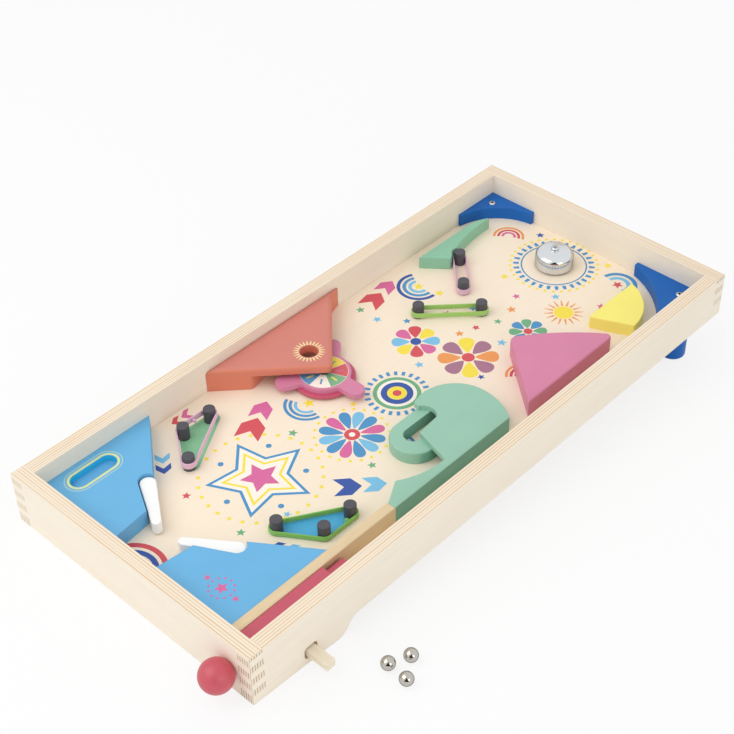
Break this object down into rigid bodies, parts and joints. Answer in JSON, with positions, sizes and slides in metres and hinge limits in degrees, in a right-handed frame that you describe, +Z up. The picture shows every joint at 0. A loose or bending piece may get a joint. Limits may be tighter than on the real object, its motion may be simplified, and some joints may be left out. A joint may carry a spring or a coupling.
{
  "type": "tabletop pinball game",
  "caption": "Tabletop pinball game: a sloping plywood tray on rear legs, with flippers worked by side push bars, a spring plunger and launch lane, painted wooden blocks, a spinner and a bell.",
  "frame": {"origin": "middle of the front wall's underside, on the table", "axes": "+Z up from the table, +Y from the player to the back, +X to the right"},
  "size_m": [0.3999, 0.6781, 0.0978],
  "materials": {
    "plywood": "clear satin varnish",
    "printed_board": "printed satin",
    "light_blue": "satin paint",
    "dark_blue": "satin paint",
    "coral": "satin paint",
    "sea_green": "satin paint",
    "pink": "satin paint",
    "dark_pink": "satin paint",
    "yellow": "satin paint",
    "red": "satin paint",
    "white": "satin paint",
    "dial_print": "printed satin",
    "peg_grey": "satin",
    "pink_band": "matt elastic",
    "green_band": "matt elastic",
    "chrome": "polished",
    "steel": "bright"
  },
  "bodies": {
    "case": {"front_wall": "plywood", "back_wall": "plywood", "left_wall": "plywood", "right_wall": "plywood", "left_batten": "plywood", "right_batten": "plywood", "front_batten": "plywood", "back_batten": "plywood", "lane_divider": "plywood", "left_pivot_block": "plywood", "right_pivot_block": "plywood", "return_block": "plywood", "playfield_board": "printed_board", "left_apron": "light_blue", "right_apron": "light_blue", "left_corner_block": "dark_blue", "right_corner_block": "dark_blue", "left_leg": "dark_blue", "right_leg": "dark_blue", "window_block": "coral", "ball_loop": "sea_green", "tunnel_cover": "sea_green", "crescent_block": "sea_green", "pink_block": "pink", "yellow_block": "yellow", "plunger_cover": "red", "left_sling_pegs": "peg_grey", "right_sling_pegs": "peg_grey", "lower_bumper_pegs": "peg_grey", "upper_bumper_pegs": "peg_grey", "spinner_post": "peg_grey", "left_sling_band": "pink_band", "upper_bumper_band": "pink_band", "right_sling_band": "green_band", "lower_bumper_band": "green_band", "bell_gong": "chrome", "bell_nut": "chrome", "steel_ball_1": "chrome", "steel_ball_2": "chrome", "steel_ball_3": "chrome", "bell_post": "steel", "leg_screws": "steel"},
    "spinner": {"spinner_wheel": "pink", "spinner_disc": "dark_pink", "spinner_dial": "dial_print"},
    "plunger": {"plunger_knob": "red", "plunger_rod": "steel", "plunger_head": "red", "plunger_spring": "steel"},
    "left_push": {"left_push_bar": "plywood", "left_return_spring": "steel"},
    "right_push": {"right_push_bar": "plywood", "right_return_spring": "steel"},
    "left_flipper_arm": {"left_flipper": "white", "left_crank": "steel"},
    "right_flipper_arm": {"right_flipper": "white", "right_crank": "steel"}
  },
  "joints": [
    {"name": "spinner_turn", "type": "hinge", "parent": "case", "child": "spinner", "pos_m": [-0.0645, 0.28932, 0.03922], "axis": [0, -0.0645, 0.9979], "continuous": true},
    {"name": "plunger_pull", "type": "slide", "parent": "case", "child": "plunger", "axis": [0, -0.9979, -0.0645], "range_m": [0, 0.04], "stiffness_N_per_m": 200, "springref_m": -0.01, "deforming": ["plunger_spring"]},
    {"name": "left_push_in", "type": "slide", "parent": "case", "child": "left_push", "axis": [1, 0, 0], "range_m": [0, 0.0199], "stiffness_N_per_m": 150, "springref_m": -0.005, "deforming": ["left_return_spring"]},
    {"name": "right_push_in", "type": "slide", "parent": "case", "child": "right_push", "axis": [-1, 0, 0], "range_m": [0, 0.0199], "stiffness_N_per_m": 150, "springref_m": -0.005, "deforming": ["right_return_spring"]},
    {"name": "left_flipper_turn", "type": "hinge", "parent": "case", "child": "left_flipper_arm", "pos_m": [-0.0719, 0.07697, 0.02549], "axis": [0, -0.0645, 0.9979], "range_deg": [0, 52]},
    {"name": "right_flipper_turn", "type": "hinge", "parent": "case", "child": "right_flipper_arm", "pos_m": [0.0431, 0.07697, 0.02549], "axis": [0, 0.0645, -0.9979], "range_deg": [0, 52]}
  ],
  "couplings": [
    {"joint": "left_flipper_turn", "follows": "left_push_in", "rad_per_m": 45.502},
    {"joint": "right_flipper_turn", "follows": "right_push_in", "rad_per_m": 45.502}
  ]
}
